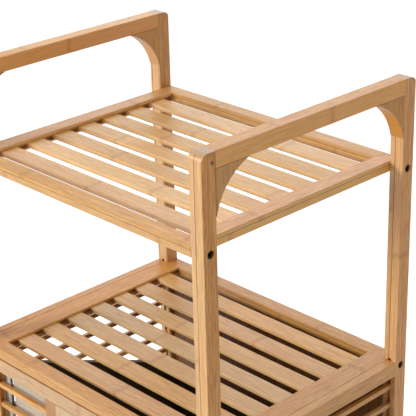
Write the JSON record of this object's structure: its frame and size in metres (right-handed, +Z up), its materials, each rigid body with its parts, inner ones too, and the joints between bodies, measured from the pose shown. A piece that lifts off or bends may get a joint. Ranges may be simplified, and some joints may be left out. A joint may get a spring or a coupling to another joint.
{
  "type": "rolling utility cart",
  "caption": "Bamboo rolling cart with grab handles, slatted shelves, slatted sides and a tilt-out front that carries a fabric laundry liner.",
  "frame": {"origin": "on the floor, under the centre of the footprint", "axes": "+X to the cart's right along the shelf slats, +Y from the tilting front to the back panel, +Z up"},
  "size_m": [0.45, 0.3586, 0.95],
  "materials": {
    "bamboo": "clear satin lacquer over natural bamboo",
    "bamboo_edge_grain": "clear satin lacquer, edge grain",
    "bamboo_pale": "clear satin lacquer, pale ply face",
    "bamboo_carbonised": "clear satin lacquer, browner strip",
    "zinc_steel": "zinc plated",
    "grey_plastic": "moulded, fine matt texture",
    "grey_rubber": "moulded",
    "linen_fabric": "plain weave"
  },
  "bodies": {
    "frame": {"post_front_left": "bamboo", "post_front_right": "bamboo", "post_back_left": "bamboo", "post_back_right": "bamboo", "handle_rail_left": "bamboo", "handle_rail_right": "bamboo", "side_middle_rail_left": "bamboo", "side_middle_rail_right": "bamboo", "side_bottom_rails": "bamboo", "upper_front_rail": "bamboo", "upper_back_rail": "bamboo", "upper_left_rail": "bamboo", "upper_right_rail": "bamboo", "upper_slats": "bamboo", "middle_front_rail": "bamboo", "middle_back_rail": "bamboo", "middle_left_rail": "bamboo", "middle_right_rail": "bamboo", "middle_slats": "bamboo", "base_front_rail": "bamboo", "base_back_rail": "bamboo", "handle_brackets": "bamboo_edge_grain", "side_slats_left": "bamboo_edge_grain", "side_slats_right": "bamboo_edge_grain", "stop_blocks": "bamboo_edge_grain", "base_board": "bamboo_pale", "dowels": "bamboo_pale", "back_panel": "bamboo_carbonised", "connector_bolts": "zinc_steel", "barrel_nuts": "zinc_steel", "pivot_pins": "zinc_steel", "caster_stems": "zinc_steel"},
    "front": {"front_top_rail": "bamboo", "front_bottom_rail": "bamboo", "front_stiles": "bamboo", "front_mullions": "bamboo_carbonised", "centre_board": "bamboo_pale", "front_slats_left": "bamboo", "front_slats_right": "bamboo", "liner_rim": "zinc_steel", "liner_bag": "linen_fabric"},
    "caster_fl": {"caster_fork_fl": "grey_plastic", "caster_axle_fl": "zinc_steel"},
    "wheel_fl": {"wheel_hub_fl": "grey_plastic", "wheel_tyre_fl": "grey_rubber"},
    "brake_fl": {"brake_pedal_fl": "grey_plastic"},
    "caster_fr": {"caster_fork_fr": "grey_plastic", "caster_axle_fr": "zinc_steel"},
    "wheel_fr": {"wheel_hub_fr": "grey_plastic", "wheel_tyre_fr": "grey_rubber"},
    "brake_fr": {"brake_pedal_fr": "grey_plastic"},
    "caster_bl": {"caster_fork_bl": "grey_plastic", "caster_axle_bl": "zinc_steel"},
    "wheel_bl": {"wheel_hub_bl": "grey_plastic", "wheel_tyre_bl": "grey_rubber"},
    "caster_br": {"caster_fork_br": "grey_plastic", "caster_axle_br": "zinc_steel"},
    "wheel_br": {"wheel_hub_br": "grey_plastic", "wheel_tyre_br": "grey_rubber"}
  },
  "joints": [
    {"name": "front_tilt", "type": "hinge", "parent": "frame", "child": "front", "pos_m": [0, -0.167, 0.1185], "axis": [1, 0, 0], "range_deg": [0, 28]},
    {"name": "swivel_fl", "type": "hinge", "parent": "frame", "child": "caster_fl", "pos_m": [-0.215, -0.165, 0.062], "axis": [0, 0, 1], "continuous": true},
    {"name": "roll_fl", "type": "hinge", "parent": "caster_fl", "child": "wheel_fl", "pos_m": [-0.197, -0.165, 0.025], "axis": [0, 1, 0], "continuous": true},
    {"name": "brake_fl", "type": "hinge", "parent": "caster_fl", "child": "brake_fl", "pos_m": [-0.189, -0.165, 0.0553], "axis": [0, 1, 0], "range_deg": [0, 18]},
    {"name": "swivel_fr", "type": "hinge", "parent": "frame", "child": "caster_fr", "pos_m": [0.215, -0.165, 0.062], "axis": [0, 0, 1], "continuous": true},
    {"name": "roll_fr", "type": "hinge", "parent": "caster_fr", "child": "wheel_fr", "pos_m": [0.197, -0.165, 0.025], "axis": [0, 1, 0], "continuous": true},
    {"name": "brake_fr", "type": "hinge", "parent": "caster_fr", "child": "brake_fr", "pos_m": [0.189, -0.165, 0.0553], "axis": [0, -1, 0], "range_deg": [0, 18]},
    {"name": "swivel_bl", "type": "hinge", "parent": "frame", "child": "caster_bl", "pos_m": [-0.215, 0.165, 0.062], "axis": [0, 0, 1], "continuous": true},
    {"name": "roll_bl", "type": "hinge", "parent": "caster_bl", "child": "wheel_bl", "pos_m": [-0.197, 0.165, 0.025], "axis": [0, 1, 0], "continuous": true},
    {"name": "swivel_br", "type": "hinge", "parent": "frame", "child": "caster_br", "pos_m": [0.215, 0.165, 0.062], "axis": [0, 0, 1], "continuous": true},
    {"name": "roll_br", "type": "hinge", "parent": "caster_br", "child": "wheel_br", "pos_m": [0.197, 0.165, 0.025], "axis": [0, 1, 0], "continuous": true}
  ]
}
